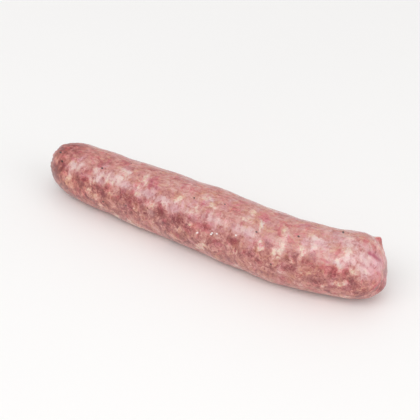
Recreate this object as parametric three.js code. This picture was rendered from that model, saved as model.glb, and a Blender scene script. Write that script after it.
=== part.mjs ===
// A raw, coarse sausage lying on its side: minced meat in a thin natural casing, one piece.
// One end is a gathered dome, the other is cut nearly square and keeps two short tags of casing.
// Millimetres, +Z up. The origin is on the surface it rests on, under the middle of its bounding box.
import * as THREE from "three";
import { mergeVertices } from "three/addons/utils/BufferGeometryUtils.js";

// Driving dimensions of the filled casing
const LENGTH = 205;
const CALIBRE = 35.4;
const TAPER = 1.25; // the radius grows by this from the middle to the cut end
const BARREL = 2.2; // and falls by this from the middle to both ends
const FLAT_DEPTH = 1.0; // how far the soft underside is pressed flat by its own weight

// The middle line at even steps of the length: its sideways swing, and how far it lifts off the surface
const MIDDLE_LINE = [
  { side: 7.7, lift: 0.8 },
  { side: 1.1, lift: 0 },
  { side: -2.2, lift: 0 },
  { side: -6.1, lift: 0 },
  { side: -8.0, lift: 0.3 },
  { side: 0.5, lift: 2.7 },
];

// The two ends: how far each shoulder reaches along the link, how square it is, and how its face leans
const DOME_END = { shoulder: 20.8, squareness: 2.4, lean: -0.13 };
const CUT_END = { shoulder: 16.3, squareness: 2.75, lean: 0.22 };

// Gathers of the casing round each end
const PUCKER = { folds: 9, depth: 0.4, reach: 16 };

// Lumps of mince under the casing: waves that run along the link and turn round it
const LUMPS = [
  { along: 58, around: 1, height: 0.2, phase: 0.4 },
  { along: 41, around: -2, height: 0.17, phase: 2.1 },
  { along: 33, around: 3, height: 0.13, phase: 4.4 },
  { along: 27, around: -1, height: 0.1, phase: 1.2 },
  { along: 22, around: -4, height: 0.09, phase: 5.3 },
];

// Tags of casing at the cut end: a nib on its upper back edge and a low lip on the lower part of its face
const TAGS = [
  { around: 0.73, width: 0.14, fromEnd: 4.6, reach: 2.0, outward: 2.4, forward: 1.6 },
  { around: 4.4, width: 0.5, fromEnd: 1.2, reach: 1.6, outward: 0.3, forward: 1.4 },
];

// Faces: steps round the link, along its body and over each end
const ROUND_STEPS = 44;
const BODY_STEPS = 40;
const END_STEPS = 13;

const HALF = LENGTH / 2;
const FULL_TURN = 2 * Math.PI;
const WELD = 1e-3; // vertices nearer than this are one

const middleLine = new THREE.CatmullRomCurve3(
  MIDDLE_LINE.map(({ side, lift }, i) => {
    const x = (i / (MIDDLE_LINE.length - 1) - 0.5) * LENGTH;
    return new THREE.Vector3(x, side, lift);
  }),
  false,
  "catmullrom",
  0.5,
);

// Radius of the filled casing at x along the link, which is 0 at its middle.
function casingRadius(x) {
  const t = x / HALF;
  return CALIBRE / 2 + TAPER * t - BARREL * t * t;
}

// Outline of one end as pairs of distance from its tip and share of the full radius: a quarter superellipse.
function endOutline({ shoulder, squareness }) {
  const power = 2 / squareness;
  return Array.from({ length: END_STEPS }, (_, i) => {
    const angle = (i / END_STEPS) * (Math.PI / 2);
    return [shoulder * (1 - Math.cos(angle) ** power), Math.sin(angle) ** power];
  });
}

// The link's straight outline, from the middle of the dome end to the middle of the cut end's face.
function straightOutline() {
  const point = (x, share) => new THREE.Vector2(share * casingRadius(x), x);
  const dome = endOutline(DOME_END).map(([d, share]) => point(d - HALF, share));
  const cut = endOutline(CUT_END).map(([d, share]) => point(HALF - d, share));
  const bodyStart = DOME_END.shoulder - HALF;
  const bodyLength = LENGTH - DOME_END.shoulder - CUT_END.shoulder;
  const body = Array.from({ length: BODY_STEPS + 1 }, (_, i) =>
    point(bodyStart + (bodyLength * i) / BODY_STEPS, 1),
  );
  return [...dome, ...body, ...cut.reverse()];
}

// How strongly a tag shows at x along the link and an angle round it, from 0 to 1.
function tagWeight(tag, x, around) {
  const turn = (around - tag.around) / tag.width;
  const step = (HALF - x - tag.fromEnd) / tag.reach;
  return Math.exp(-turn * turn - step * step);
}

// Height of the lumps and gathers over the plain outline.
function relief(x, around, share) {
  const lumps = LUMPS.reduce(
    (sum, l) => sum + l.height * Math.sin((FULL_TURN * x) / l.along + l.around * around + l.phase),
    0,
  );
  const gathered = Math.max(0, 1 - (HALF - Math.abs(x)) / PUCKER.reach) * Math.sin(Math.PI * share);
  return lumps * share * share + PUCKER.depth * gathered * Math.cos(PUCKER.folds * around + Math.sign(x));
}

// Carries a vertex of the straight, round link on to the bent, resting one.
function lay(vertex) {
  const x = vertex.y;
  const around = THREE.MathUtils.euclideanModulo(Math.atan2(vertex.x, vertex.z), FULL_TURN);
  const radius = Math.hypot(vertex.x, vertex.z);
  const share = Math.min(1, radius / casingRadius(x));
  const weights = TAGS.map((tag) => tagWeight(tag, x, around) * share);
  const outward = weights.reduce((sum, w, i) => sum + w * TAGS[i].outward, 0);
  const forward = weights.reduce((sum, w, i) => sum + w * TAGS[i].forward, 0);
  const full = radius + relief(x, around, share) + outward;
  const end = x < 0 ? DOME_END : CUT_END;
  const overEnd = Math.max(0, 1 - (HALF - Math.abs(x)) / end.shoulder);
  const leaned = x + forward - end.lean * Math.sign(x) * overEnd * full * Math.sin(around);
  const along = THREE.MathUtils.clamp(leaned / LENGTH + 0.5, 0, 1);
  const middle = middleLine.getPoint(along);
  const heading = middleLine.getTangent(along).setZ(0).normalize();
  const side = new THREE.Vector3(-heading.y, heading.x, 0);
  const overrun = leaned - (along - 0.5) * LENGTH;
  const height = casingRadius(x) - FLAT_DEPTH + middle.z + full * Math.sin(around);
  return new THREE.Vector3(middle.x, middle.y, 0)
    .addScaledVector(heading, overrun)
    .addScaledVector(side, full * Math.cos(around))
    .setZ(Math.max(0, height));
}

// The whole link as one closed skin, set with its bounding box over the origin.
function sausageGeometry() {
  const turned = new THREE.LatheGeometry(straightOutline(), ROUND_STEPS);
  turned.deleteAttribute("normal");
  turned.deleteAttribute("uv");
  const position = turned.getAttribute("position");
  const vertex = new THREE.Vector3();
  for (let i = 0; i < position.count; i++) {
    vertex.fromBufferAttribute(position, i);
    position.setXYZ(i, ...lay(vertex));
  }
  const geometry = mergeVertices(turned, WELD);
  geometry.computeBoundingBox();
  const centre = geometry.boundingBox.getCenter(new THREE.Vector3());
  geometry.translate(-centre.x, -centre.y, -geometry.boundingBox.min.z);
  geometry.computeVertexNormals();
  return geometry;
}

const rawMeat = new THREE.MeshStandardMaterial({ color: 0xc48884, roughness: 0.4, metalness: 0 });
const sausage = new THREE.Mesh(sausageGeometry(), rawMeat);
sausage.name = "sausage";

const part = new THREE.Group();
part.add(sausage);

export default part;
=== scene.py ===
"""A raw, coarse sausage on a pale floor: minced pork and fat under a thin, moist casing.

The surface is worked out on a grid of rings, from the dome end's tip to the middle of the cut end.
Sizes are in millimetres until the mesh is made. Angles round the sausage run from the far side over
the top, so that their sine is 1 on the top and their cosine is 1 on the far side.
"""

import math

import bpy
import numpy as np
from mathutils import Matrix, Vector


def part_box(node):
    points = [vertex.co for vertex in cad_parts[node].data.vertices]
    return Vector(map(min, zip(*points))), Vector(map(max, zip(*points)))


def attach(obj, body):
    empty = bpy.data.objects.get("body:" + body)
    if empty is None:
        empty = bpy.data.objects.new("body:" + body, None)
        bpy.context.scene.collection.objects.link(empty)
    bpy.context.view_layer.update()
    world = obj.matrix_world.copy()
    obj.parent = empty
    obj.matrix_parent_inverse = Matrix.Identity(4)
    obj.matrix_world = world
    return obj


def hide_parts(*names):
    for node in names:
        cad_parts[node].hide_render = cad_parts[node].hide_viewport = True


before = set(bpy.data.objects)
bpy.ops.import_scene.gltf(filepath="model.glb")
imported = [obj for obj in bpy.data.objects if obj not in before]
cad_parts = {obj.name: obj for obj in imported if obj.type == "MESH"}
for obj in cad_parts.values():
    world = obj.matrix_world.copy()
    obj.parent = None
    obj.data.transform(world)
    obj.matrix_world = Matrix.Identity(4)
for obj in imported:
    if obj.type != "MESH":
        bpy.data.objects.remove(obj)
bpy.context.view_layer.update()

MM = 0.001
FULL_TURN = 2 * math.pi
TINY = 1e-9  # the least length that anything is divided by

# The filled casing
LENGTH = 205.0
HALF = LENGTH / 2
CALIBRE = 35.4
TAPER = 1.25  # the radius grows by this from the middle to the cut end
BARREL = 2.2  # and falls by this from the middle to both ends
FLAT_DEPTH = 1.0  # how far the soft underside is pressed flat by its own weight

# The middle line at even steps of the length: sideways swing and lift
MIDDLE_LINE = [(7.7, 0.8), (1.1, 0.0), (-2.2, 0.0), (-6.1, 0.0), (-8.0, 0.3), (0.5, 2.7)]

# The ends: reach of the shoulder, squareness, and lean of the face
DOME_END = {"shoulder": 20.8, "squareness": 2.4, "lean": -0.13}
CUT_END = {"shoulder": 16.3, "squareness": 2.75, "lean": 0.22}

# Gathers at the ends, lumps of mince, and tags of casing at the cut end
PUCKER = {"folds": 9, "depth": 0.4, "reach": 16.0}
LUMPS = [  # wavelength along, turns round, height, phase
    (58, 1, 0.20, 0.4),
    (41, -2, 0.17, 2.1),
    (33, 3, 0.13, 4.4),
    (27, -1, 0.10, 1.2),
    (22, -4, 0.09, 5.3),
]
TAGS = [  # angle, width, distance from the end, reach, outward and forward push
    (0.73, 0.14, 4.6, 2.0, 2.4, 1.6),
    (4.4, 0.50, 1.2, 1.6, 0.3, 1.4),
]

# Rings over each end and the body, and steps round them
DOME_RINGS, BODY_RINGS, CUT_RINGS = 46, 318, 40
ROUND_STEPS = 224

# The camera: the point it looks at, its distance, and its focal length in pixels of the square picture
AIM = np.array([-3.1, 7.9, 16.0])
AZIMUTH, ELEVATION = math.radians(29.86), math.radians(35.0)
DISTANCE = 900.0
PICTURE = 420
FOCAL = 1679
SENSOR = 36.0

# Pieces that show in the picture, by kind. A row gives the half length and half width as seen,
# the turn of the long way in degrees, downwards from pointing right, and the pixels, across and down,
# where pieces of that size have their middles.
SEEN = {
    "fat": [
        (3.9, 2.5, 10, [(78, 166), (111, 180), (125, 174)]),
        (2.8, 2.0, 20, [(75, 164), (93, 181), (104, 176), (118, 178), (94, 196)]),
        (2.8, 2.0, 20, [(202, 247), (275, 252), (350, 252), (367, 259)]),
        (3.4, 1.5, 8, [(152, 206), (203, 199), (249, 219), (318, 239), (349, 239)]),
        (3.8, 1.7, 85, [(145, 181), (137, 191), (260, 246), (340, 265)]),
        (4.6, 1.8, 103, [(283, 240), (301, 254)]),
        (3.6, 2.0, 65, [(64, 175), (68, 181)]),
        (3.2, 1.1, 70, [(212, 203), (378, 244)]),
        (3.6, 1.0, 110, [(197, 208), (262, 225)]),
        (4.2, 1.2, 140, [(180, 199)]),
        (1.9, 1.4, 25, [(88, 190), (98, 169), (101, 204), (111, 193), (162, 203)]),
        (1.9, 1.4, 25, [(179, 229), (190, 186), (190, 224), (253, 213), (352, 273)]),
        (1.7, 1.3, 40, [(235, 252), (292, 261), (313, 248), (336, 284), (344, 282)]),
        (1.7, 1.3, 40, [(363, 253), (367, 272), (373, 262)]),
    ],
    "dark": [
        (3.8, 2.4, 30, [(63, 149), (73, 147), (129, 198), (176, 218), (352, 284)]),
        (2.7, 1.6, 20, [(85, 170), (161, 212), (215, 242), (269, 244)]),
        (2.7, 1.6, 20, [(291, 268), (352, 291), (365, 292), (379, 289)]),
        (1.9, 1.2, 25, [(85, 179), (82, 184), (102, 193), (138, 200)]),
        (1.9, 1.2, 25, [(157, 223), (169, 230), (248, 254), (257, 260)]),
        (1.8, 1.1, 20, [(300, 276), (316, 281), (342, 287)]),
        (2.2, 0.9, 80, [(63, 165)]),
    ],
    "red": [
        (5.2, 2.1, 14, [(330, 271), (203, 227)]),
        (2.3, 1.5, 30, [(84, 179), (108, 188), (187, 228), (233, 241)]),
        (2.3, 1.5, 30, [(265, 217), (384, 285), (379, 239)]),
        (3.2, 0.9, 110, [(151, 184), (279, 230), (346, 270), (339, 252)]),
        (2.6, 0.8, 80, [(382, 262), (385, 274)]),
        (3.4, 1.1, 140, [(377, 286)]),
        (2.2, 0.8, 15, [(324, 246), (326, 261), (365, 241), (343, 238), (126, 163), (75, 160)]),
    ],
    # Pale lilac patches: partly paler meat, and partly a painted sheen where the casing catches the light
    # on its upper side and cut end.
    "pale": [
        (5.6, 2.3, 20, [(109, 176), (213, 220), (244, 231)]),
        (4.2, 2.0, 20, [(98, 181), (124, 184), (148, 194), (163, 200), (176, 208)]),
        (6.0, 2.4, 20, [(320, 243), (338, 236), (352, 243)]),
        (5.6, 4.6, 0, [(367, 268), (367, 256), (376, 262)]),
        (3.6, 3.0, 0, [(350, 260)]),
        (2.6, 1.9, 10, [(78, 166)]),
    ],
    "pepper": [
        (0.65, 0.5, 30, [(60.7, 152.6), (62.3, 161.7), (102.3, 168)]),
        (0.65, 0.5, 30, [(256.3, 231.8), (298.5, 236), (343.5, 232.5)]),
        (0.45, 0.4, 0, [(224.7, 204), (103, 201.5)]),
    ],
    # Painted glints: near-white specks on small raised beads, standing in for highlights on wet spots.
    "glint_beads": [
        (0.65, 0.45, -15, [(197.3, 232.7), (211, 234.5)]),
        (0.5, 0.45, 0, [(212.5, 233), (217, 233.3), (235.5, 235.2)]),
    ],
}
# The crease is cut into the relief and painted dark red: painted shade in the fold.
CREASE = {"from": (369, 252.6), "to": (380.6, 260.2), "points": 16, "width": 1.1, "depth": 0.4}

# Pieces strewn over the whole surface: how many, range of half lengths, range of slenderness, seed
STREWN = {
    "fat": (330, (1.0, 3.2), (1.2, 2.8), 37),
    "dark": (150, (1.2, 3.6), (1.1, 2.4), 38),
    "red": (120, (1.2, 3.6), (1.2, 3.0), 41),
    "pale": (24, (3.0, 6.0), (1.5, 3.0), 42),
    "pepper": (46, (0.4, 0.75), (1.2, 1.5), 39),
}
FULL_STRENGTH = 1.0  # how strongly a listed piece shows
STRENGTHS = (0.45, FULL_STRENGTH)  # range of how strongly a strewn piece shows
NEAR_SIDE = (1.2, 3.6)  # angles round where the listed pieces lie
NEAR_SHARE = 0.5  # strength of the strewn pieces there

# A piece's soft edge, and the noises that make it ragged
EDGE_FALL = 0.7  # how fast the bell of a piece's strength falls
BELL_REACH, BELL_MARGIN = 4.0, 2.0  # half lengths, and millimetres more, past which the bell is nothing
CLEAN_EDGED = ("pepper", "glint_beads")
RAGGED = [(1.1, 5.0, 7), (0.6, 1.7, 17)]  # height, cell and first of three seeds

# Gradient noise: length of its table of slopes, and what brings it to about 1 at most
SLOPES = 256
NOISE_GAIN = 1.6

# Low relief over the plain form. A noise is given as height, cell and seed.
MINCE = [(0.10, 5.5, 27), (0.07, 2.3, 28)]
WRINKLES = (0.16, 1.5, 29)
WRINKLE_DRAW = np.array([0.1, 1.0, 1.0])  # draws the wrinkles out along the sausage
BODY_SHARE = 0.95  # share of the full radius past which the wrinkles show
PITS = (0.18, 2.6, 30)
GATHER_HEIGHT, GATHER_FOLDS = 0.22, 26
GATHER_WOBBLE = (3.6, 9.0, 31)
PIECE_RISE = {"fat": 0.15, "dark": -0.2, "glint_beads": 0.3}
TIP_FADE = 4.0  # the low relief fades inside the full radius divided by this

# Zones of the surface: where each starts and where it is full
FROM_DOME = {  # distance from the dome end's tip
    "strip": (18.0, 6.0),  # darker over the tip: gathered casing, and painted shade on the end turned from the light
    "gathers": (20.0, 6.0),
    "left": (70.0, 20.0),  # darker and warmer towards the tip: painted shade
    "edge": (20.0, 60.0),  # painted light bounced from the floor, along the floor
}
FROM_CUT = {  # distance from the cut end's tip
    "pits": (9.0, 2.0),
    # Face: the cut end tinted redder, painted against the casing's pale reflection at its grazing edges.
    "face": (7.0, 1.5),
    "lift": (14.0, 2.0),
    # Edge: where the painted light bounced from the floor fades out towards the cut end.
    "edge": (8.0, 40.0),
}
UPWARDS = {  # sine of the angle round
    "wrinkles": (0.3, 0.9),
    "strip": (0.2, 0.9),
    # The upper zone is lighter and its mottling calmer: a painted sheen.
    "upper": (0.55, 0.95),
    "crest": (0.88, 0.99),
    # Far: the far upper side tinted redder, painted against the casing's pale reflection at grazing
    # angles.
    "far": (0.4, 0.85),
    # The lower zone is darker and browner: painted shade; its lowest edge takes painted light from the
    # floor.
    "lower": (0.62, 0.28),
    "edge": (0.05, -0.4),
}
FARWARDS = {"far": (-0.4, 0.15)}  # cosine of the angle round
STRIP_EDGE = (3.5, 6.0, 40)
STRIP_TOP = 8.0  # how much further the strip reaches over the top
LOWER_EDGE = (0.16, 7.0, 43)
CUT_LIFT = 0.35  # how much lower the lower zone starts at the cut end
LEFT_CREST = 0.45  # share of the left zone on the crest

# Lightness added to the meat: everywhere, from the middle to the cut end, and in zones. The slope is
# painted light, stronger towards the cut end; the upper zone's part is a painted sheen, and the lower,
# strip and left zones' parts are painted shade.
BROAD_LEVEL, BROAD_SLOPE = 0.014, 0.026
BROAD_ZONES = {"upper": 0.018, "lower": -0.06, "strip": -0.05, "left": -0.055}
EDGE_GLOW = 0.5  # share of the lower zone's painted shade that painted light from the floor takes back near it


def noise(points, cell, seed):
    """Gradient noise, from about -1 to 1.

    Every corner of a cubic lattice with that cell size holds a random slope. A point takes the ramps of
    its cell's eight corners, blended by the fade 6t^5 - 15t^4 + 10t^3 along each axis.
    """
    rng = np.random.default_rng(seed)
    table = rng.permutation(SLOPES)
    slopes = rng.normal(size=(SLOPES, 3))
    slopes /= np.linalg.norm(slopes, axis=1, keepdims=True)
    scaled = points / cell
    corner = np.floor(scaled).astype(int)
    inside = scaled - corner
    fade = inside**3 * (inside * (inside * 6 - 15) + 10)
    total = np.zeros(points.shape[:-1])
    for step in np.ndindex(2, 2, 2):
        x, y, z = np.moveaxis(corner + step, -1, 0)
        drawn = table[(table[(table[x % SLOPES] + y) % SLOPES] + z) % SLOPES]
        ramp = ((inside - step) * slopes[drawn]).sum(-1)
        share = np.where(np.array(step) == 1, fade, 1 - fade).prod(-1)
        total += ramp * share
    return total * NOISE_GAIN


def waver(points, settings):
    """Noise times a height, from settings of height, cell and seed."""
    height, cell, seed = settings
    return height * noise(points, cell, seed)


def smooth_step(value, start, full):
    """0 up to the start, 1 from where it is full, and the cubic 3t^2 - 2t^3 between them."""
    t = np.clip((value - start) / (full - start), 0, 1)
    return t * t * (3 - 2 * t)


def lengths(vectors):
    """Lengths of vectors, fit to divide by."""
    return np.maximum(np.linalg.norm(vectors, axis=-1, keepdims=True), TINY)


def casing_radius(x):
    """Half the calibre plus an even taper, less a share of the squared distance from the middle."""
    t = x / HALF
    return CALIBRE / 2 + TAPER * t - BARREL * t * t


def end_outline(end, rings):
    """A quarter superellipse: distances from the tip, and shares of the full radius."""
    angle = np.linspace(0, math.pi / 2, rings, endpoint=False)
    power = 2 / end["squareness"]
    return end["shoulder"] * (1 - np.cos(angle) ** power), np.sin(angle) ** power


def straight_outline():
    """Place along the sausage and share of the full radius of every ring, from one tip to the other."""
    dome, dome_share = end_outline(DOME_END, DOME_RINGS)
    cut, cut_share = end_outline(CUT_END, CUT_RINGS)
    body = np.linspace(DOME_END["shoulder"] - HALF, HALF - CUT_END["shoulder"], BODY_RINGS)
    along = np.concatenate([dome - HALF, body, (HALF - cut)[::-1]])
    share = np.concatenate([dome_share, np.ones(BODY_RINGS), cut_share[::-1]])
    return along, share


def middle_line(along):
    """Uniform Catmull-Rom curve through MIDDLE_LINE at a share of its length: place and direction.

    Between two points it is the cubic whose slope at each is half the step between its neighbours.
    """
    steps = len(MIDDLE_LINE) - 1
    points = np.array([((i / steps - 0.5) * LENGTH, *p) for i, p in enumerate(MIDDLE_LINE)])
    points = np.vstack([2 * points[0] - points[1], points, 2 * points[-1] - points[-2]])
    place = along * steps
    i = np.minimum(place.astype(int), steps - 1)
    t = (place - i)[..., None]
    before, start, end, after = (points[i + k] for k in range(4))
    slope_in, slope_out = (end - before) / 2, (after - start) / 2
    bend = 2 * (start - end) + slope_in + slope_out
    swell = 3 * (end - start) - 2 * slope_in - slope_out
    direction = (3 * bend * t + 2 * swell) * t + slope_in
    return ((bend * t + swell) * t + slope_in) * t + start, direction


def plain_relief(x, around, share):
    """Sum of the lumps' sine waves, fading at the tips, plus cosine folds gathered round each end."""
    lumps = sum(h * np.sin(FULL_TURN * x / length + n * around + phase) for length, n, h, phase in LUMPS)
    gathered = np.maximum(0, 1 - (HALF - np.abs(x)) / PUCKER["reach"]) * np.sin(math.pi * share)
    folds = np.cos(PUCKER["folds"] * around + np.sign(x))
    return lumps * share**2 + PUCKER["depth"] * gathered * folds


def tag_pushes(x, around, share):
    """How far the tags of casing push out and forwards: bells of the angle and the distance along."""
    outward, forward = np.zeros_like(x), np.zeros_like(x)
    for angle, width, from_end, reach, push_out, push_on in TAGS:
        turn, step = (around - angle) / width, (HALF - x - from_end) / reach
        weight = np.exp(-(turn**2) - step**2) * share
        outward += weight * push_out
        forward += weight * push_on
    return outward, forward


def lay(x, around, share, relief):
    """Bends the straight sausage along its middle line and rests it on the floor.

    A point goes out from the middle line by its radius, sideways by the cosine of its angle and up by
    the sine. Its end's lean slides it along by its height. What would sink into the floor is pressed flat.
    """
    outward, forward = tag_pushes(x, around, share)
    full = casing_radius(x) * share + relief + outward
    at_dome = x < 0
    shoulder = np.where(at_dome, DOME_END["shoulder"], CUT_END["shoulder"])
    lean = np.where(at_dome, DOME_END["lean"], CUT_END["lean"])
    over_end = np.maximum(0, 1 - (HALF - np.abs(x)) / shoulder)
    leaned = x + forward - lean * np.sign(x) * over_end * full * np.sin(around)
    along = np.clip(leaned / LENGTH + 0.5, 0, 1)
    middle, heading = middle_line(along)
    heading = heading[..., :2] / np.linalg.norm(heading[..., :2], axis=-1, keepdims=True)
    overrun = leaned - (along - 0.5) * LENGTH
    side = full * np.cos(around)
    height = casing_radius(x) - FLAT_DEPTH + middle[..., 2] + full * np.sin(around)
    return np.stack(
        [
            middle[..., 0] + heading[..., 0] * overrun - heading[..., 1] * side,
            middle[..., 1] + heading[..., 1] * overrun + heading[..., 0] * side,
            np.maximum(0, height),
        ],
        axis=-1,
    )


def camera_axes():
    """The camera's directions to its right, upwards and backwards, from its azimuth and elevation."""
    level = math.cos(ELEVATION)
    back = np.array([math.sin(AZIMUTH) * level, -math.cos(AZIMUTH) * level, math.sin(ELEVATION)])
    right = np.array([math.cos(AZIMUTH), math.sin(AZIMUTH), 0.0])
    return right, np.cross(back, right), back


def picture_places(points):
    """Pixels where points show: the offset from the camera's axis over the depth, times FOCAL."""
    right, up, back = camera_axes()
    offset = points - AIM
    scale = FOCAL / (DISTANCE - offset @ back)
    return np.stack([PICTURE / 2 + offset @ right * scale, PICTURE / 2 - offset @ up * scale], axis=-1)


class Skin:
    """The sausage's grid, straight and as it lies, and the pieces of mince that show on it."""

    def __init__(self):
        """Lays out the grid, straight and ragged, sets its plain form in place and looks at it."""
        along, share = straight_outline()
        angles = np.arange(ROUND_STEPS) * FULL_TURN / ROUND_STEPS
        self.x, self.around = np.meshgrid(along, angles, indexing="ij")
        self.share = np.repeat(share[:, None], ROUND_STEPS, axis=1)
        self.from_dome, self.from_cut = HALF + self.x, HALF - self.x
        self.sine, self.cosine = np.sin(self.around), np.cos(self.around)
        radius = casing_radius(self.x) * self.share
        self.straight = np.stack([self.x, radius * self.cosine, radius * self.sine], axis=-1)
        tangent = np.gradient(self.straight, axis=0)
        self.tangent = tangent / lengths(tangent)
        self.round_way = np.stack([0 * self.x, -self.sine, self.cosine], axis=-1)
        self.warped = self.straight
        for height, cell, seed in RAGGED:
            push = [waver(self.straight, (height, cell, seed + axis)) for axis in range(3)]
            self.warped = self.warped + np.stack(push, axis=-1)
        self.plain = plain_relief(self.x, self.around, self.share)
        self.shift = np.zeros(3)
        form = self.laid(self.plain)
        low, high = (np.array(corner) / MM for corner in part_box("sausage"))
        self.shift[:2] = ((low + high - form.min((0, 1)) - form.max((0, 1))) / 2)[:2]
        self.look(form + self.shift)

    def laid(self, relief):
        """The grid bent, rested on the floor and set over the CAD node's middle."""
        return lay(self.x, self.around, self.share, relief) + self.shift

    def look(self, form):
        """Finds each vertex's pixel, whether it is hidden, and how 1 mm along and round it is seen.

        A vertex is hidden where its normal, the cross product of the steps round and along, faces away.
        """
        along = np.gradient(form, axis=0)
        around = np.roll(form, -1, axis=1) - np.roll(form, 1, axis=1)
        to_camera = AIM + DISTANCE * camera_axes()[2] - form
        self.hidden = (np.cross(around, along) * to_camera).sum(-1) <= 0
        self.picture = picture_places(form)
        seen = self.picture * DISTANCE / FOCAL
        seen_round = np.roll(seen, -1, axis=1) - np.roll(seen, 1, axis=1)
        self.seen_along = np.gradient(seen, axis=0) / lengths(along)
        self.seen_round = seen_round / lengths(around)

    def seen_at(self, pixel):
        """Ring and step of the vertex that shows nearest to a pixel."""
        gap = np.linalg.norm(self.picture - pixel, axis=-1)
        return np.unravel_index(np.where(self.hidden, np.inf, gap).argmin(), gap.shape)

    def random_places(self, count, rng):
        """Rings and steps drawn evenly over the surface: a ring's chance is its girth times its width."""
        widths = np.linalg.norm(np.gradient(self.straight[:, 0], axis=0), axis=-1)
        chance = widths * casing_radius(self.x[:, 0]) * self.share[:, 0]
        rings = rng.choice(len(chance), size=count, p=chance / chance.sum())
        return rings, rng.integers(0, ROUND_STEPS, size=count)

    def stamp(self, mask, place, along, around, sizes, strength, ragged):
        """Lays one soft ellipse on the mask: the bell exp(-EDGE_FALL q), where q is 1 on its edge.

        A step along the surface counts on the ellipse's two axes as the pair of numbers along says,
        and a step round it as the pair around says.
        """
        half_length, half_width = sizes
        centre, tangent, round_way = self.straight[place], self.tangent[place], self.round_way[place]
        near = np.abs(self.x[:, 0] - centre[0]) < BELL_REACH * half_length + BELL_MARGIN
        offset = (self.warped if ragged else self.straight)[near] - centre
        lengthwise, sideways = offset @ tangent, offset @ round_way
        depth = offset @ np.cross(tangent, round_way)
        long_way = lengthwise * along[0] + sideways * around[0]
        wide_way = lengthwise * along[1] + sideways * around[1]
        q = (long_way / half_length) ** 2 + (wide_way / half_width) ** 2 + (depth / half_length) ** 2
        mask[near] = np.maximum(mask[near], strength * np.exp(-EDGE_FALL * q))

    def add_seen(self, mask, rows, ragged):
        """Adds pieces read off the picture to a mask, each an ellipse as the camera sees it."""
        for half_length, half_width, turn, pixels in rows:
            c, s = math.cos(math.radians(turn)), math.sin(math.radians(turn))
            axes = np.array([[c, s], [-s, c]])
            for pixel in pixels:
                place = self.seen_at(pixel)
                along, around = axes @ self.seen_along[place], axes @ self.seen_round[place]
                self.stamp(mask, place, along, around, (half_length, half_width), FULL_STRENGTH, ragged)

    def add_strewn(self, mask, count, half_lengths, slenderness, seed, ragged):
        """Adds pieces at random places to a mask, their half lengths and slenderness drawn from ranges."""
        rng = np.random.default_rng(seed)
        for place in zip(*self.random_places(count, rng)):
            half_length = rng.uniform(*half_lengths)
            half_width = half_length / rng.uniform(*slenderness)
            slant = rng.uniform(0, math.pi)
            along, around = (math.cos(slant), -math.sin(slant)), (math.sin(slant), math.cos(slant))
            strength = rng.uniform(*STRENGTHS)
            if ragged and NEAR_SIDE[0] < self.around[place] < NEAR_SIDE[1]:
                strength *= NEAR_SHARE
            self.stamp(mask, place, along, around, (half_length, half_width), strength, ragged)

    def pieces(self, kind):
        """Mask of all the pieces of a kind, those read off the picture and those strewn."""
        mask = np.zeros(self.x.shape)
        ragged = kind not in CLEAN_EDGED
        self.add_seen(mask, SEEN[kind], ragged)
        if kind in STREWN:
            self.add_strewn(mask, *STREWN[kind], ragged)
        return mask

    def crease(self):
        """Mask of the crease in the cut end: a bell of the distance from points along its way."""
        gap = np.full(self.x.shape, np.inf)
        for pixel in np.linspace(CREASE["from"], CREASE["to"], CREASE["points"]):
            centre = self.straight[self.seen_at(pixel)]
            gap = np.minimum(gap, np.linalg.norm(self.straight - centre, axis=-1))
        return np.exp(-((gap / CREASE["width"]) ** 2))


def zone_masks(skin):
    """Zones that are tinted alike: smooth steps of the distance from an end and of the angle round.

    The edges of the strip and of the lower zone are pushed about by noise.
    """
    strip_top = STRIP_TOP * smooth_step(skin.sine, *UPWARDS["strip"])
    strip_place = skin.from_dome + waver(skin.straight, STRIP_EDGE) - strip_top
    level = skin.share * skin.sine + CUT_LIFT * smooth_step(skin.from_cut, *FROM_CUT["lift"])
    lower = smooth_step(level + waver(skin.straight, LOWER_EDGE), *UPWARDS["lower"])
    crest = smooth_step(skin.sine, *UPWARDS["crest"])
    far = smooth_step(skin.cosine, *FARWARDS["far"])
    return {
        "strip": smooth_step(strip_place, *FROM_DOME["strip"]),
        "lower": lower,
        "upper": smooth_step(skin.sine, *UPWARDS["upper"]),
        "left": smooth_step(skin.from_dome, *FROM_DOME["left"]) * np.maximum(lower, LEFT_CREST * crest),
        "face": smooth_step(skin.from_cut, *FROM_CUT["face"]),
        "far": far * smooth_step(skin.sine, *UPWARDS["far"]),
    }


def broad_tone(skin, zones):
    """Lightness added to the meat: a level, an even slope along the sausage that paints light stronger
    towards the cut end, and each zone's own part: painted sheen above, painted shade below and at the dome
    end.

    The lower zone's part is weaker along its lowest edge, away from the two ends: painted light bounced
    from the floor.
    """
    edge = smooth_step(skin.sine, *UPWARDS["edge"])
    edge *= smooth_step(skin.from_dome, *FROM_DOME["edge"])
    edge *= smooth_step(skin.from_cut, *FROM_CUT["edge"])
    shaded = {**zones, "lower": zones["lower"] * (1 - EDGE_GLOW * edge)}
    parts = sum(tone * shaded[name] for name, tone in BROAD_ZONES.items())
    return BROAD_LEVEL + BROAD_SLOPE * skin.x / HALF + parts


def skin_masks(skin):
    """The masks that colour and relief share: pieces, zones, lightness and the crease."""
    zones = zone_masks(skin)
    pieces = {kind: skin.pieces(kind) for kind in SEEN}
    return {**pieces, **zones, "broad": broad_tone(skin, zones), "crease": skin.crease()}


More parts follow.
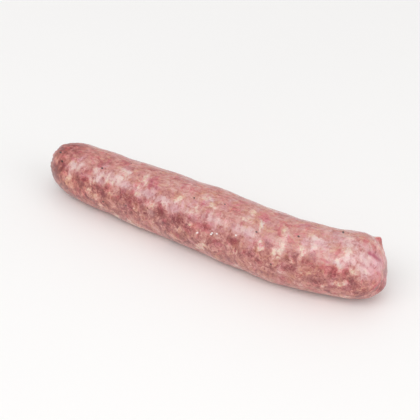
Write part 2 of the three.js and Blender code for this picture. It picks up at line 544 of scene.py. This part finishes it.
def fine_relief(skin, masks):
    """Low relief over the plain form: noises, gathers, pieces that stand out or sink, and the crease.

    Mince is noise everywhere, wrinkles are noise drawn out along the upper side, and pits are noise at
    the cut end. The gathers are a sine of the angle round the dome end, its phase moved by noise.
    """
    mince = sum(waver(skin.straight, settings) for settings in MINCE)
    upper = smooth_step(skin.sine, *UPWARDS["wrinkles"]) * (skin.share > BODY_SHARE)
    wrinkles = upper * waver(skin.straight * WRINKLE_DRAW, WRINKLES)
    pits = smooth_step(skin.from_cut, *FROM_CUT["pits"]) * waver(skin.straight, PITS)
    gathered = smooth_step(skin.from_dome, *FROM_DOME["gathers"]) * np.sin(math.pi * skin.share)
    folds = np.sin(GATHER_FOLDS * skin.around + waver(skin.straight, GATHER_WOBBLE))
    pieces = sum(rise * masks[kind] for kind, rise in PIECE_RISE.items())
    relief = mince + wrinkles + pits + GATHER_HEIGHT * gathered * folds + pieces
    return relief * np.minimum(1, skin.share * TIP_FADE) - CREASE["depth"] * masks["crease"]


def closed_grid(points):
    """Vertices and faces of a grid of rings whose first and last rings are single points."""
    rings, steps = points.shape[:2]
    inner = points[1:-1].reshape(-1, 3)
    vertices = np.vstack([points[0, 0], inner, points[-1, 0]])
    ring = np.arange(rings - 2)[:, None] * steps + 1
    here, there = np.arange(steps), (np.arange(steps) + 1) % steps
    low, high = ring[:-1], ring[1:]
    quads = np.stack([low + here, high + here, high + there, low + there], axis=-1).reshape(-1, 4)
    last = len(vertices) - 1
    first_fan = np.stack([np.zeros(steps, int), 1 + here, 1 + there], axis=-1)
    last_fan = np.stack([np.full(steps, last), ring[-1] + there, ring[-1] + here], axis=-1)
    return vertices, [*first_fan.tolist(), *quads.tolist(), *last_fan.tolist()]


def per_vertex(grid):
    """A grid's values in the order of closed_grid's vertices."""
    return np.concatenate([grid[:1, 0], grid[1:-1].reshape(-1, *grid.shape[2:]), grid[-1:, 0]])


def add_attribute(mesh, name, grid):
    """Stores a grid of numbers or of vectors on the mesh's vertices."""
    values = per_vertex(grid).astype(np.float32)
    is_vector = values.ndim == 2
    attribute = mesh.attributes.new(name, "FLOAT_VECTOR" if is_vector else "FLOAT", "POINT")
    attribute.data.foreach_set("vector" if is_vector else "value", values.ravel())


def make_sausage():
    """The dressed sausage: the CAD form with its fine relief, set where the CAD node is."""
    skin = Skin()
    masks = skin_masks(skin)
    points = skin.laid(skin.plain + fine_relief(skin, masks))
    vertices, faces = closed_grid(points * MM)
    mesh = bpy.data.meshes.new("sausage_link")
    mesh.from_pydata(vertices.tolist(), [], faces)
    mesh.shade_smooth()
    add_attribute(mesh, "straight", skin.straight)
    for name, mask in masks.items():
        add_attribute(mesh, name, mask)
    sausage = bpy.data.objects.new("sausage_link", mesh)
    bpy.context.scene.collection.objects.link(sausage)
    return sausage


# Middle value of the shader's noises, a colour's fourth number, and the Mix node's colour sockets
MIDDLE = 0.5
OPAQUE = 1.0
MIX_A, MIX_B, MIX_RESULT = 6, 7, 2


class Shader:
    """Short calls that add nodes to a material and link them."""

    def __init__(self, name):
        """Makes a material with a plain surface."""
        self.material = bpy.data.materials.new(name)
        self.material.use_nodes = True
        self.tree = self.material.node_tree
        self.bsdf = self.tree.nodes["Principled BSDF"]

    def set(self, socket, value):
        """Links an output to the socket, or writes a constant into it."""
        if isinstance(value, bpy.types.NodeSocket):
            self.tree.links.new(value, socket)
        else:
            socket.default_value = value

    def finish(self, settings):
        """Writes constants into the surface's sockets."""
        for name, value in settings.items():
            self.bsdf.inputs[name].default_value = value

    def attribute(self, name, output="Fac"):
        """A mesh attribute."""
        node = self.tree.nodes.new("ShaderNodeAttribute")
        node.attribute_name = name
        return node.outputs[output]

    def math(self, operation, a, b=0.0):
        """One step of arithmetic."""
        node = self.tree.nodes.new("ShaderNodeMath")
        node.operation = operation
        self.set(node.inputs[0], a)
        self.set(node.inputs[1], b)
        return node.outputs[0]

    def weighted(self, start, *terms):
        """A number plus each value times its weight."""
        total = start
        for value, weight in terms:
            node = self.tree.nodes.new("ShaderNodeMath")
            node.operation = "MULTIPLY_ADD"
            for socket, number in zip(node.inputs, (value, weight, total)):
                self.set(socket, number)
            total = node.outputs[0]
        return total

    def swing(self, noise, share):
        """A noise's swing about its middle, times a share."""
        return self.math("MULTIPLY", self.math("SUBTRACT", noise, MIDDLE), share)

    def swings(self, level, noises, weights):
        """A level plus the swings of the named noises about their middles, each times its weight."""
        start = level - MIDDLE * sum(weights.values())
        return self.weighted(start, *((noises[name], weight) for name, weight in weights.items()))

    def vector(self, operation, a, b):
        """One step of vector arithmetic."""
        node = self.tree.nodes.new("ShaderNodeVectorMath")
        node.operation = operation
        self.set(node.inputs[0], a)
        self.set(node.inputs["Scale"] if operation == "SCALE" else node.inputs[1], b)
        return node.outputs[0]

    def pushed(self, place, colour_noise, reach):
        """A place moved along each axis by a noise's swing times the reach."""
        swing = self.vector("SUBTRACT", colour_noise, (MIDDLE, MIDDLE, MIDDLE))
        return self.vector("ADD", place, self.vector("SCALE", swing, reach))

    def noise(self, vector, cell, detail, roughness, distortion=0.0, output="Fac"):
        """Noise with features of about that size in the vector's own units."""
        node = self.tree.nodes.new("ShaderNodeTexNoise")
        self.set(node.inputs["Vector"], vector)
        node.inputs["Scale"].default_value = 1 / cell
        node.inputs["Detail"].default_value = detail
        node.inputs["Roughness"].default_value = roughness
        node.inputs["Distortion"].default_value = distortion
        return node.outputs[output]

    def cells(self, vector, cell):
        """Random numbers, one triple for each cell of about that size in millimetres."""
        node = self.tree.nodes.new("ShaderNodeTexVoronoi")
        self.set(node.inputs["Vector"], vector)
        node.inputs["Scale"].default_value = 1 / cell
        return self.channels(node.outputs["Color"])

    def channels(self, colour):
        """The three numbers of a colour."""
        node = self.tree.nodes.new("ShaderNodeSeparateColor")
        self.set(node.inputs[0], colour)
        return node.outputs

    def range(self, value, low, high, to_low=0.0, to_high=1.0):
        """Carries one range over to another, with a smooth start and stop."""
        node = self.tree.nodes.new("ShaderNodeMapRange")
        node.interpolation_type = "SMOOTHSTEP"
        limits = {"From Min": low, "From Max": high, "To Min": to_low, "To Max": to_high}
        for name, number in {"Value": value, **limits}.items():
            self.set(node.inputs[name], number)
        return node.outputs[0]

    def ramp(self, value, stops):
        """A colour ramp with its stops given as place and colour."""
        node = self.tree.nodes.new("ShaderNodeValToRGB")
        elements = node.color_ramp.elements
        while len(elements) < len(stops):
            elements.new(1.0)
        for element, (place, colour) in zip(elements, stops):
            element.position = place
            element.color = (*colour, OPAQUE)
        self.set(node.inputs[0], value)
        return node.outputs[0]

    def mix(self, share, a, b, blend="MIX"):
        """Mixes two colours."""
        node = self.tree.nodes.new("ShaderNodeMix")
        node.data_type = "RGBA"
        node.blend_type = blend
        self.set(node.inputs["Factor"], share)
        for place, colour in ((MIX_A, a), (MIX_B, b)):
            self.set(node.inputs[place], (*colour, OPAQUE) if isinstance(colour, tuple) else colour)
        return node.outputs[MIX_RESULT]


# Colours, as linear light: the meat from dark lean to fat, pale patches that are partly a painted sheen,
# and marks, among them painted glints
MEAT = [
    (0.28, (0.235, 0.050, 0.055)),
    (0.40, (0.410, 0.136, 0.126)),
    (0.50, (0.560, 0.245, 0.220)),
    (0.60, (0.645, 0.372, 0.330)),
    (0.70, (0.740, 0.590, 0.495)),
]
LILAC = [
    (0.38, (0.620, 0.355, 0.385)),
    (0.62, (0.780, 0.595, 0.600)),
]
FAT_WHITE = (0.760, 0.610, 0.510)
CREASE_RED = (0.460, 0.085, 0.140)
# The glint beads' near-white mark is a painted highlight.
MARKS = {"pepper": (0.030, 0.022, 0.020), "glint_beads": (0.930, 0.900, 0.880)}

# Tints that multiply the meat's colour, by hue and by zone. The zone tints paint shade on the lower side,
# strip and left end, and set a redder face and far side against the casing's pale reflection.
HUE_TINTS = {
    "dark": (1.05, 0.84, 0.90),
    "red": (1.0, 0.67, 0.79),
    "ochre": (0.99, 1.0, 0.83),
    "mauve": (0.95, 0.92, 1.06),
}
ZONE_TINTS = {
    # Strip: browner over the dome tip, gathered casing and painted shade.
    "strip": (0.98, 0.79, 0.72),
    # Lower: browner, painted shade.
    "lower": (0.98, 0.95, 0.88),
    # Left: warmer and darker towards the dome tip, painted shade.
    "left": (1.0, 0.87, 0.79),
    "face": (1.06, 0.86, 0.93),
    "far": (1.02, 0.94, 0.92),
}

# Noises in the colour: size of features, detail, roughness, and distortion where there is any
WARP, WARP_REACH = (7.0, 2.0, 0.55), 6.0
FRAY, FRAY_REACH = (1.0, 2.0, 0.55), 2.0
HUES = (6.0, 2.0, 0.55)
MOTTLE = (8.0, 3.0, 0.5)
GRAIN = (1.1, 2.0, 0.5)
ROUND_STREAKS, ROUND_DRAW = (2.2, 2.0, 0.5), (1.0, 0.55, 0.55)
LONG_STREAKS, LONG_DRAW = (1.4, 2.0, 0.45), (0.22, 1.0, 1.0)
STRANDS = (3.6, 4.0, 0.5, 1.5)
CHUNK, CRUMB = 3.0, 1.5

# How noises break up the pieces, and from where to where a piece, hue or mark comes to show
BREAK_UP = {"round": 1.1, "grain": 0.5, "chunk": 0.2, "crumb": 0.2}
DARK_SPECKLE = {"grain": 2.4}
DARK_BREAK = 1.6  # how many times as broken the dark pieces are
PIECE_SHOWS = {"fat": (0.1, 1.0), "dark": (0.1, 0.9), "red": (0.1, 1.0), "pale": (0.0, 1.0)}
RED_HUE = {"red": 1.0, "chunk red": 0.3, "crumb red": 0.3}
RED_PIECES = 0.6
OCHRE_HUE = {"ochre": 1.0, "chunk ochre": 0.3, "crumb ochre": 0.2}
HUE_SHOWS = {"red": (0.5, 0.85), "ochre": (0.48, 0.75), "mauve": (0.5, 0.7)}
LILAC_TONES = {"grain": 0.4, "round": 0.7, "chunk": 0.24}
LILAC_SHARE = 0.6
STRAND_SHOWS = (0.015, 0.0, 0.0, 0.15)
MARK_SHOWS = (0.3, 0.7, 0.0, 0.9)
CREASE_SHARE = 0.95

# Shares in the meat's tone: of noises everywhere, of noises in a zone, and of pieces
EVEN_TONES = {"grain": 0.26, "chunk": 0.07, "crumb": 0.08}
ZONE_TONES = [  # noise, zone, share
    ("mottle", "calm mottle", 0.49),
    ("round", "calm round", 0.42),
    ("long", "upper", 0.36),
    ("crumb", "lower", 0.10),
    ("round", "strip", 0.35),
]
PIECE_TONES = {"fat": 0.20, "dark": -0.19, "red": -0.08}
UPPER_LOSS = {"calm mottle": 0.65, "calm round": 0.7, "calm pieces": 0.38}  # lost on the upper side, where a painted sheen veils the meat

# The moist casing: shine, light let in, coat and bump
CASING = {
    "Specular IOR Level": 0.4,
    "Subsurface Weight": 0.35,
    "Subsurface Radius": (1.0, 0.45, 0.35),
    "Subsurface Scale": 1.0 * MM,
    "Coat Weight": 0.7,
    "Coat Roughness": 0.25,
}
CASING_ROUGHNESS = (0.35, 0.65, 0.36, 0.50)  # range of the round streaks, and of the roughness
BUMP_STRENGTH, BUMP_DISTANCE = 0.35, 0.4 * MM
BUMP_ROUND, BUMP_GRAIN = 0.7, 0.5


def mince_noises(s):
    """Noises on the straightened sausage, by name. Most read places pushed about by wider noises."""
    straight = s.attribute("straight", "Vector")
    warped = s.pushed(straight, s.noise(straight, *WARP, output="Color"), WARP_REACH)
    frayed = s.pushed(warped, s.noise(straight, *FRAY, output="Color"), FRAY_REACH)
    noises = {
        "mottle": s.noise(warped, *MOTTLE),
        "round": s.noise(s.vector("MULTIPLY", warped, ROUND_DRAW), *ROUND_STREAKS),
        "long": s.noise(s.vector("MULTIPLY", warped, LONG_DRAW), *LONG_STREAKS),
        "grain": s.noise(straight, *GRAIN),
        "strands": s.noise(warped, *STRANDS),
    }
    noises["chunk"], noises["chunk red"], noises["chunk ochre"] = s.cells(frayed, CHUNK)
    noises["crumb"], noises["crumb red"], noises["crumb ochre"] = s.cells(frayed, CRUMB)
    hues = s.channels(s.noise(straight, *HUES, output="Color"))
    noises["red"], noises["ochre"], noises["mauve"] = hues
    return noises


def mince_pieces(s, noises):
    """How strongly each kind of piece shows: its mask plus noise, carried through a smooth threshold."""
    broken = s.swings(0.0, noises, BREAK_UP)
    dark_broken = s.weighted(s.swings(0.0, noises, DARK_SPECKLE), (broken, DARK_BREAK))
    pieces = {}
    for kind, limits in PIECE_SHOWS.items():
        edges = dark_broken if kind == "dark" else broken
        pieces[kind] = s.range(s.weighted(edges, (s.attribute(kind), 1.0)), *limits)
    return pieces


def meat_tone(s, noises, pieces):
    """Place on the meat's colour ramp: the middle plus shares of noises, pieces and broad lightness.

    On the upper side mottling, round streaks and pieces are weaker, a painted sheen that veils the meat,
    and long streaks come in.
    """
    zones = {name: s.attribute(name) for name in ("upper", "lower", "strip")}
    for name, loss in UPPER_LOSS.items():
        zones[name] = s.weighted(1.0, (zones["upper"], -loss))
    terms = [(s.swing(noises[name], zones[zone]), share) for name, zone, share in ZONE_TONES]
    for kind, share in PIECE_TONES.items():
        terms.append((s.math("MULTIPLY", pieces[kind], zones["calm pieces"]), share))
    terms.append((s.attribute("broad"), 1.0))
    return s.weighted(s.swings(MIDDLE, noises, EVEN_TONES), *terms)


def tint_mince(s, colour, noises, pieces):
    """Multiplies in the hues of lean and fat, then mixes in lilac patches, partly paler meat and partly a
    painted sheen, and thin strands of fat.
    """
    red = s.weighted(s.swings(MIDDLE, noises, RED_HUE), (pieces["red"], RED_PIECES))
    hues = {"red": red, "ochre": s.swings(MIDDLE, noises, OCHRE_HUE), "mauve": noises["mauve"]}
    shares = {hue: s.range(value, *HUE_SHOWS[hue]) for hue, value in hues.items()}
    for hue, share in {"dark": pieces["dark"], **shares}.items():
        colour = s.mix(share, colour, HUE_TINTS[hue], "MULTIPLY")
    lilac = s.ramp(s.swings(MIDDLE, noises, LILAC_TONES), LILAC)
    colour = s.mix(s.math("MULTIPLY", pieces["pale"], LILAC_SHARE), colour, lilac)
    from_strand = s.math("ABSOLUTE", s.math("SUBTRACT", noises["strands"], MIDDLE))
    return s.mix(s.range(from_strand, *STRAND_SHOWS), colour, FAT_WHITE)


def tint_zones(s, colour):
    """Multiplies in each zone's tint by the zone's mask: painted shade, and colour set against the
    casing's reflection.
    """
    for zone, tint in ZONE_TINTS.items():
        colour = s.mix(s.attribute(zone), colour, tint, "MULTIPLY")
    return colour


def add_marks(s, colour):
    """Mixes in the crease's painted shade, the pepper and the painted white glints on the raised beads by
    their masks.
    """
    colour = s.mix(s.math("MULTIPLY", s.attribute("crease"), CREASE_SHARE), colour, CREASE_RED)
    for kind, mark in MARKS.items():
        colour = s.mix(s.range(s.attribute(kind), *MARK_SHOWS), colour, mark)
    return colour


def meat_material():
    """Lean mince, streaked and dotted with fat and pepper, seen through a moist casing, with painted
    sheen, glints and shade in its colour.
    """
    s = Shader("raw_meat")
    noises = mince_noises(s)
    pieces = mince_pieces(s, noises)
    colour = s.ramp(meat_tone(s, noises, pieces), MEAT)
    colour = tint_mince(s, colour, noises, pieces)
    colour = add_marks(s, tint_zones(s, colour))
    s.set(s.bsdf.inputs["Base Color"], colour)
    s.set(s.bsdf.inputs["Roughness"], s.range(noises["round"], *CASING_ROUGHNESS))
    s.finish(CASING)
    bump = s.tree.nodes.new("ShaderNodeBump")
    bump.inputs["Strength"].default_value = BUMP_STRENGTH
    bump.inputs["Distance"].default_value = BUMP_DISTANCE
    height = s.weighted(0.0, (noises["round"], BUMP_ROUND), (noises["grain"], BUMP_GRAIN))
    s.set(bump.inputs["Height"], height)
    s.set(s.bsdf.inputs["Normal"], bump.outputs[0])
    return s.material


# The floor, in metres: its side, the noise of its patches, their colours, and a finish with a faint glow
FLOOR_SIZE = 8.0
FLOOR_PATCHES = (0.4, 2.0, 0.55)
FLOOR_TONES = [(0.3, (0.885, 0.88, 0.875)), (0.7, (0.905, 0.90, 0.895))]
FLOOR_FINISH = {"Roughness": 0.5, "Emission Color": (1.0, 0.97, 0.95, OPAQUE), "Emission Strength": 0.06}


def floor_material():
    """Plain pale floor with the faintest unevenness, and a glow that keeps its shadows pale."""
    s = Shader("pale_floor")
    coordinates = s.tree.nodes.new("ShaderNodeTexCoord")
    patches = s.noise(coordinates.outputs["Object"], *FLOOR_PATCHES)
    s.set(s.bsdf.inputs["Base Color"], s.ramp(patches, FLOOR_TONES))
    s.finish(FLOOR_FINISH)
    return s.material


def make_floor():
    """A square floor at the height of the sausage's underside."""
    half = FLOOR_SIZE / 2
    corners = [(-half, -half, 0), (half, -half, 0), (half, half, 0), (-half, half, 0)]
    mesh = bpy.data.meshes.new("floor")
    mesh.from_pydata(corners, [], [(0, 1, 2, 3)])
    floor = bpy.data.objects.new("floor", mesh)
    floor.data.materials.append(floor_material())
    bpy.context.scene.collection.objects.link(floor)


def make_camera():
    """A long lens above the sausage's near side, turned towards its cut end."""
    data = bpy.data.cameras.new("camera")
    data.sensor_width = SENSOR
    data.lens = FOCAL / PICTURE * SENSOR
    axes = camera_axes()
    camera = bpy.data.objects.new("camera", data)
    camera.location = Vector((AIM + DISTANCE * axes[2]) * MM)
    camera.rotation_euler = Matrix(axes).transposed().to_euler()
    bpy.context.scene.collection.objects.link(camera)
    bpy.context.scene.camera = camera


# Soft boxes, in metres and watts: name, place, width and height, power. The room lights from all round.
SOFT_BOXES = [
    ("overhead", (0.3, 0.3, 3.0), (4.0, 4.0), 13.0),
    ("front", (0.0, -1.35, 1.75), (2.6, 1.3), 21.5),
    ("right", (2.2, -0.4, 1.3), (1.6, 1.6), 11.0),
]
ROOM = {"Color": (1.0, 0.995, 0.99, OPAQUE), "Strength": 0.58}


def add_light(name, place, size, power):
    """A soft box of that width and height that faces the sausage."""
    data = bpy.data.lights.new(name, "AREA")
    data.shape = "RECTANGLE"
    data.size, data.size_y = size
    data.energy = power
    light = bpy.data.objects.new(name, data)
    light.location = place
    light.rotation_euler = (-Vector(place)).to_track_quat("-Z", "Y").to_euler()
    bpy.context.scene.collection.objects.link(light)


def make_lights():
    """Large soft boxes overhead, to the front and to the right, in a pale room."""
    for soft_box in SOFT_BOXES:
        add_light(*soft_box)
    world = bpy.data.worlds.new("room")
    world.use_nodes = True
    background = world.node_tree.nodes["Background"]
    for name, value in ROOM.items():
        background.inputs[name].default_value = value
    bpy.context.scene.world = world
    bpy.context.scene.view_settings.view_transform = "Standard"


sausage = make_sausage()
sausage.data.materials.append(meat_material())
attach(sausage, "root")
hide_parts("sausage")
make_floor()
make_camera()
make_lights()
